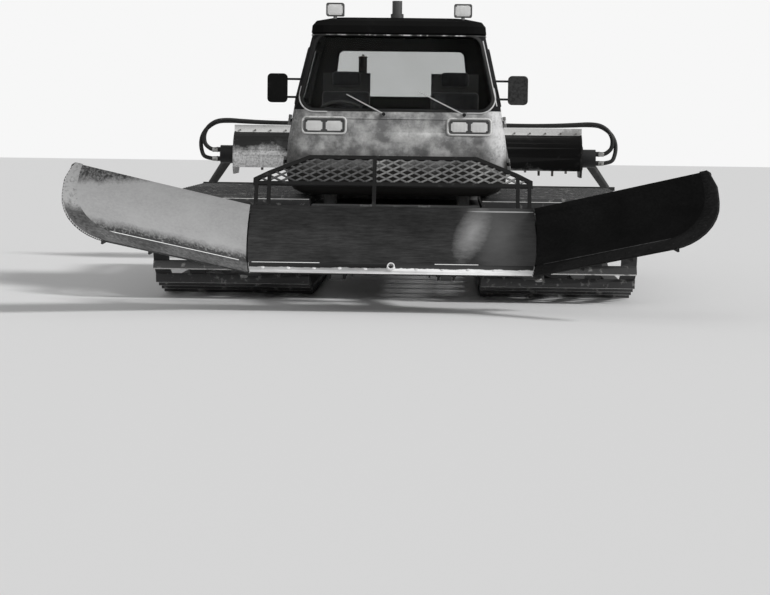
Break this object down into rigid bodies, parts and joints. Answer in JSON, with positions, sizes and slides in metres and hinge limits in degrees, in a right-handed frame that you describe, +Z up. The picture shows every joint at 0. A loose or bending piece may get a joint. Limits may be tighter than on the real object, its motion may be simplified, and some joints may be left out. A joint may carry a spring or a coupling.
{
  "type": "snow groomer",
  "caption": "Tracked snow groomer with a black-roofed cab, a winged front blade with a mesh guard, and a raised rear tiller on a lift frame.",
  "frame": {"origin": "middle of the machine on the ground, on its centre plane", "axes": "-Y forward towards the blade, +X to the right as seen from the front, +Z up"},
  "size_m": [4.9062, 7.6233, 2.517],
  "materials": {
    "machine_paint": "satin, weathered",
    "frame_paint": "satin, dusty",
    "roof_black": "matte",
    "seat_cover": "matte",
    "tyre_rubber": "matte",
    "rubber_parts": "matte",
    "wheel_metal": "satin",
    "track_bars": "worn",
    "window_glass": "clear, grey tint",
    "lamp_lens": "clear",
    "amber_lens": "gloss",
    "red_lens": "gloss",
    "engine_iron": "matte",
    "hot_steel": "rusty, matte",
    "ram_paint": "satin",
    "rod_chrome": "polished",
    "blade_steel": "worn and brushed by snow",
    "cutter_steel": "worn"
  },
  "bodies": {
    "chassis": {"chassis_frame": "frame_paint", "axle_tubes": "frame_paint", "road_tyres": "tyre_rubber", "road_rims": "wheel_metal", "final_drives": "frame_paint", "sprockets": "wheel_metal", "track_left": "track_bars", "track_right": "track_bars", "deck_frame": "frame_paint", "cab_mounts": "rubber_parts", "cab_shell": "machine_paint", "cab_roof": "roof_black", "windscreen": "window_glass", "cab_windows": "window_glass", "headlamps": "lamp_lens", "dashboard": "roof_black", "steering_wheel": "roof_black", "seat_frames": "roof_black", "seat_cushions": "seat_cover", "roof_lamps": "lamp_lens", "beacon": "amber_lens", "mirrors": "roof_black", "wipers": "rubber_parts", "engine_block": "engine_iron", "engine_housing": "machine_paint", "exhaust_stack": "hot_steel", "load_bed": "frame_paint", "tail_lamps": "red_lens", "tow_hitch": "frame_paint"},
    "door_left": {"door_left": "machine_paint", "door_glass_left": "window_glass"},
    "door_right": {"door_right": "machine_paint", "door_glass_right": "window_glass"},
    "engine_lid": {"engine_lid": "machine_paint"},
    "lift_frame": {"lift_frame": "frame_paint"},
    "lift_barrels": {"lift_barrels": "ram_paint"},
    "lift_rods": {"lift_rods": "rod_chrome"},
    "tilt_barrel": {"tilt_barrel": "ram_paint"},
    "tilt_rod": {"tilt_rod": "rod_chrome"},
    "blade": {"blade_centre": "blade_steel", "blade_guard": "frame_paint"},
    "wing_left": {"wing_left": "blade_steel"},
    "wing_right": {"wing_right": "blade_steel"},
    "wing_barrel_left": {"wing_barrel_left": "ram_paint"},
    "wing_barrel_right": {"wing_barrel_right": "ram_paint"},
    "wing_rod_left": {"wing_rod_left": "rod_chrome"},
    "wing_rod_right": {"wing_rod_right": "rod_chrome"},
    "rear_arms": {"rear_arms": "frame_paint"},
    "rear_links": {"rear_links": "frame_paint"},
    "rear_barrels": {"rear_barrels": "ram_paint"},
    "rear_rods": {"rear_rods": "rod_chrome"},
    "tiller": {"tiller_hood": "frame_paint", "tiller_drives": "frame_paint", "tiller_hoses": "rubber_parts"},
    "cutter_drum": {"cutter_drum": "cutter_steel"},
    "smoothing_frame": {"smoothing_frame": "frame_paint"}
  },
  "joints": [
    {"name": "door_left_hinge", "type": "hinge", "parent": "chassis", "child": "door_left", "pos_m": [-0.9405, -1.64, 1.15], "axis": [0.1135, 0, 0.9935], "range_deg": [0, 70]},
    {"name": "door_right_hinge", "type": "hinge", "parent": "chassis", "child": "door_right", "pos_m": [0.9405, -1.64, 1.15], "axis": [0.1135, 0, -0.9935], "range_deg": [0, 70]},
    {"name": "engine_lid_hinge", "type": "hinge", "parent": "chassis", "child": "engine_lid", "pos_m": [0, -0.076, 1.486], "axis": [1, 0, 0], "range_deg": [0, 60]},
    {"name": "blade_lift", "type": "hinge", "parent": "chassis", "child": "lift_frame", "pos_m": [0, -1.95, 0.47], "axis": [-1, 0, 0], "range_deg": [-16, 14]},
    {"name": "blade_tilt", "type": "hinge", "parent": "lift_frame", "child": "blade", "pos_m": [0, -2.79684, 0.30345], "axis": [-1, 0, 0], "range_deg": [-14, 5]},
    {"name": "wing_left_hinge", "type": "hinge", "parent": "blade", "child": "wing_left", "pos_m": [-1.155, -2.94092, 0.25381], "axis": [0, 0.3746, 0.9272], "range_deg": [-45, 3]},
    {"name": "wing_right_hinge", "type": "hinge", "parent": "blade", "child": "wing_right", "pos_m": [1.155, -2.94092, 0.25381], "axis": [0, -0.3746, -0.9272], "range_deg": [-45, 3]},
    {"name": "tiller_lift", "type": "hinge", "parent": "chassis", "child": "rear_arms", "pos_m": [0, 1.96, 0.48], "axis": [1, 0, 0], "range_deg": [-55.8, 3]},
    {"name": "cutter_drum_spin", "type": "hinge", "parent": "tiller", "child": "cutter_drum", "pos_m": [0, 3.08978, 1.13], "axis": [1, 0, 0], "continuous": true},
    {"name": "smoothing_frame_hinge", "type": "hinge", "parent": "tiller", "child": "smoothing_frame", "pos_m": [0, 3.38978, 1.16], "axis": [1, 0, 0], "range_deg": [0, 60]},
    {"name": "lift_barrel_swing", "type": "hinge", "parent": "chassis", "child": "lift_barrels", "pos_m": [0, -1.93, 0.765], "axis": [-1, 0, 0], "range_deg": [-13.28, 11.68]},
    {"name": "lift_rod_stroke", "type": "slide", "parent": "lift_barrels", "child": "lift_rods", "axis": [0, -0.9197, -0.3926], "range_m": [-0.06554, 0.07461]},
    {"name": "tilt_barrel_swing", "type": "hinge", "parent": "lift_frame", "child": "tilt_barrel", "pos_m": [0, -2.18018, 0.6267], "axis": [-1, 0, 0], "range_deg": [-1.06, 2.06]},
    {"name": "tilt_rod_stroke", "type": "slide", "parent": "tilt_barrel", "child": "tilt_rod", "axis": [0, -1, -0.0043], "range_m": [-0.03037, 0.08144]},
    {"name": "wing_left_barrel_swing", "type": "hinge", "parent": "blade", "child": "wing_barrel_left", "pos_m": [-0.615, -2.7155, 0.46472], "axis": [0, 0.3746, 0.9272], "range_deg": [-19.49, 1.77]},
    {"name": "wing_left_rod_stroke", "type": "slide", "parent": "wing_barrel_left", "child": "wing_rod_left", "axis": [-0.9983, -0.0544, 0.022], "range_m": [-0.13682, 0.01099]},
    {"name": "wing_right_barrel_swing", "type": "hinge", "parent": "blade", "child": "wing_barrel_right", "pos_m": [0.615, -2.7155, 0.46472], "axis": [0, -0.3746, -0.9272], "range_deg": [-19.49, 1.77]},
    {"name": "wing_right_rod_stroke", "type": "slide", "parent": "wing_barrel_right", "child": "wing_rod_right", "axis": [0.9983, -0.0544, 0.022], "range_m": [-0.13682, 0.01099]},
    {"name": "rear_barrel_swing", "type": "hinge", "parent": "chassis", "child": "rear_barrels", "pos_m": [0, 1.77, 1], "axis": [1, 0, 0], "range_deg": [-4.77, 0.73]},
    {"name": "rear_rod_stroke", "type": "slide", "parent": "rear_barrels", "child": "rear_rods", "axis": [0, 0.6952, -0.7189], "range_m": [-0.01331, 0.21239]},
    {"name": "rear_link_swing", "type": "hinge", "parent": "chassis", "child": "rear_links", "pos_m": [0, 1.96, 0.73], "axis": [1, 0, 0], "range_deg": [-56.3, 3.5]},
    {"name": "tiller_level", "type": "hinge", "parent": "rear_arms", "child": "tiller", "pos_m": [0, 2.74478, 1.09978], "axis": [1, 0, 0], "range_deg": [-3.5, 56.3]}
  ],
  "couplings": [
    {"joint": "lift_barrel_swing", "follows": "blade_lift", "ratio": 0.7987},
    {"joint": "lift_rod_stroke", "follows": "blade_lift", "m_per_rad": -0.26003},
    {"joint": "tilt_barrel_swing", "follows": "blade_tilt", "ratio": -0.1113},
    {"joint": "tilt_rod_stroke", "follows": "blade_tilt", "m_per_rad": -0.32512},
    {"joint": "wing_left_barrel_swing", "follows": "wing_left_hinge", "ratio": 0.4219},
    {"joint": "wing_left_rod_stroke", "follows": "wing_left_hinge", "m_per_rad": 0.17166},
    {"joint": "wing_right_barrel_swing", "follows": "wing_right_hinge", "ratio": 0.4219},
    {"joint": "wing_right_rod_stroke", "follows": "wing_right_hinge", "m_per_rad": 0.17166},
    {"joint": "rear_barrel_swing", "follows": "tiller_lift", "ratio": 0.0766},
    {"joint": "rear_rod_stroke", "follows": "tiller_lift", "m_per_rad": -0.21603},
    {"joint": "rear_link_swing", "follows": "tiller_lift", "ratio": 1},
    {"joint": "tiller_level", "follows": "tiller_lift", "ratio": -1}
  ]
}
